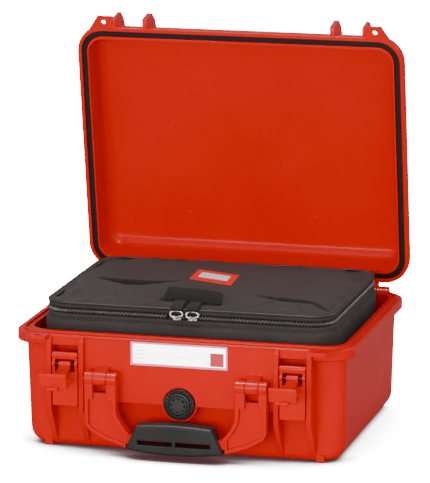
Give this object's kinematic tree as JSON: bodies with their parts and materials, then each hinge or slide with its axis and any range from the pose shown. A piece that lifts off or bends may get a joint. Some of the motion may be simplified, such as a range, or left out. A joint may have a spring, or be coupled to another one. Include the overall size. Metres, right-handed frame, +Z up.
{
  "type": "hard carry case with padded zip bag",
  "caption": "Moulded waterproof carry case with hinged lid, draw latches, folding carry handle and purge valve, holding a lift-out padded zip bag.",
  "frame": {"origin": "on the ground plane under the centre of the case's rim", "axes": "+X to the case's right seen from the front, -Y out of the front (latches and carry handle), +Z up"},
  "size_m": [0.406, 0.4294, 0.4731],
  "materials": {
    "shell_red": "injection-moulded polypropylene, satin",
    "latch_red": "moulded nylon, slightly glossier",
    "pin_steel": "plain stainless pin",
    "valve_black": "fine matt",
    "seal_rubber": "smooth soft rubber",
    "grip_rubber": "soft-touch overmould",
    "label_clear": "clear frame over red",
    "label_paper": "plain card",
    "bag_cloth": "woven polyester over foam",
    "zip_tape": "coil zip and tape",
    "webbing": "flat webbing",
    "patch_red": "soft patch, plain",
    "zip_metal": "nickel plated"
  },
  "bodies": {
    "base": {"base_shell": "shell_red", "hinge_pin_left": "pin_steel", "hinge_pin_right": "pin_steel", "latch_pin_left": "pin_steel", "latch_pin_right": "pin_steel", "handle_pin_left": "pin_steel", "handle_pin_right": "pin_steel", "valve_body": "valve_black", "valve_seal": "seal_rubber", "valve_nut": "valve_black", "label_frame": "label_clear", "label_card": "label_paper"},
    "lid": {"lid_shell": "shell_red", "lid_gasket": "seal_rubber"},
    "carry_handle": {"handle_frame": "shell_red", "handle_grip": "grip_rubber"},
    "lever_left": {"latch_lever_left": "latch_red", "hook_pin_left": "pin_steel"},
    "lever_right": {"latch_lever_right": "latch_red", "hook_pin_right": "pin_steel"},
    "hook_left": {"latch_hook_left": "latch_red"},
    "hook_right": {"latch_hook_right": "latch_red"},
    "valve_cap": {"valve_knob": "valve_black"},
    "bag": {"bag_tray": "bag_cloth", "zip_tape_lower": "zip_tape", "bag_back_hinge": "bag_cloth"},
    "bag_top": {"bag_cover": "bag_cloth", "zip_tape_upper": "zip_tape", "bag_piping": "zip_tape", "bag_handle": "webbing", "bag_patch": "patch_red"},
    "slider_left": {"zip_slider_left": "zip_metal"},
    "slider_right": {"zip_slider_right": "zip_metal"},
    "pull_left": {"zip_pull_left": "zip_metal", "pull_tab_left": "webbing"},
    "pull_right": {"zip_pull_right": "zip_metal", "pull_tab_right": "webbing"}
  },
  "joints": [
    {"name": "lid_hinge", "type": "hinge", "parent": "base", "child": "lid", "pos_m": [0, 0.169, 0.134], "axis": [-1, 0, 0], "range_deg": [-80, 20]},
    {"name": "handle_fold", "type": "hinge", "parent": "base", "child": "carry_handle", "pos_m": [0, -0.17, 0.092], "axis": [-1, 0, 0], "range_deg": [0, 100]},
    {"name": "lever_left_turn", "type": "hinge", "parent": "base", "child": "lever_left", "pos_m": [-0.136, -0.161, 0.115], "axis": [-1, 0, 0], "range_deg": [0, 100]},
    {"name": "lever_right_turn", "type": "hinge", "parent": "base", "child": "lever_right", "pos_m": [0.136, -0.161, 0.115], "axis": [-1, 0, 0], "range_deg": [0, 100]},
    {"name": "hook_left_swing", "type": "hinge", "parent": "lever_left", "child": "hook_left", "pos_m": [-0.136, -0.1625, 0.1045], "axis": [1, 0, 0], "range_deg": [-98, 8]},
    {"name": "hook_right_swing", "type": "hinge", "parent": "lever_right", "child": "hook_right", "pos_m": [0.136, -0.1625, 0.1045], "axis": [1, 0, 0], "range_deg": [-98, 8]},
    {"name": "valve_cap_turn", "type": "hinge", "parent": "base", "child": "valve_cap", "pos_m": [0, -0.161, 0.0635], "axis": [0, 1, 0], "range_deg": [0, 120]},
    {"name": "bag_lift", "type": "slide", "parent": "base", "child": "bag", "axis": [0, 0, 1], "range_m": [0, 0.165]},
    {"name": "bag_cover_open", "type": "hinge", "parent": "bag", "child": "bag_top", "pos_m": [0, 0.131, 0.16], "axis": [-1, 0, 0], "range_deg": [0, 75]},
    {"name": "zip_slide_left", "type": "slide", "parent": "bag", "child": "slider_left", "axis": [-1, 0, 0], "range_m": [0, 0.12]},
    {"name": "zip_slide_right", "type": "slide", "parent": "bag", "child": "slider_right", "axis": [1, 0, 0], "range_m": [0, 0.12]},
    {"name": "zip_pull_left_swing", "type": "hinge", "parent": "slider_left", "child": "pull_left", "pos_m": [-0.0095, -0.136, 0.161], "axis": [1, 0, 0], "range_deg": [0, 150]},
    {"name": "zip_pull_right_swing", "type": "hinge", "parent": "slider_right", "child": "pull_right", "pos_m": [0.0095, -0.136, 0.161], "axis": [1, 0, 0], "range_deg": [0, 150]}
  ]
}
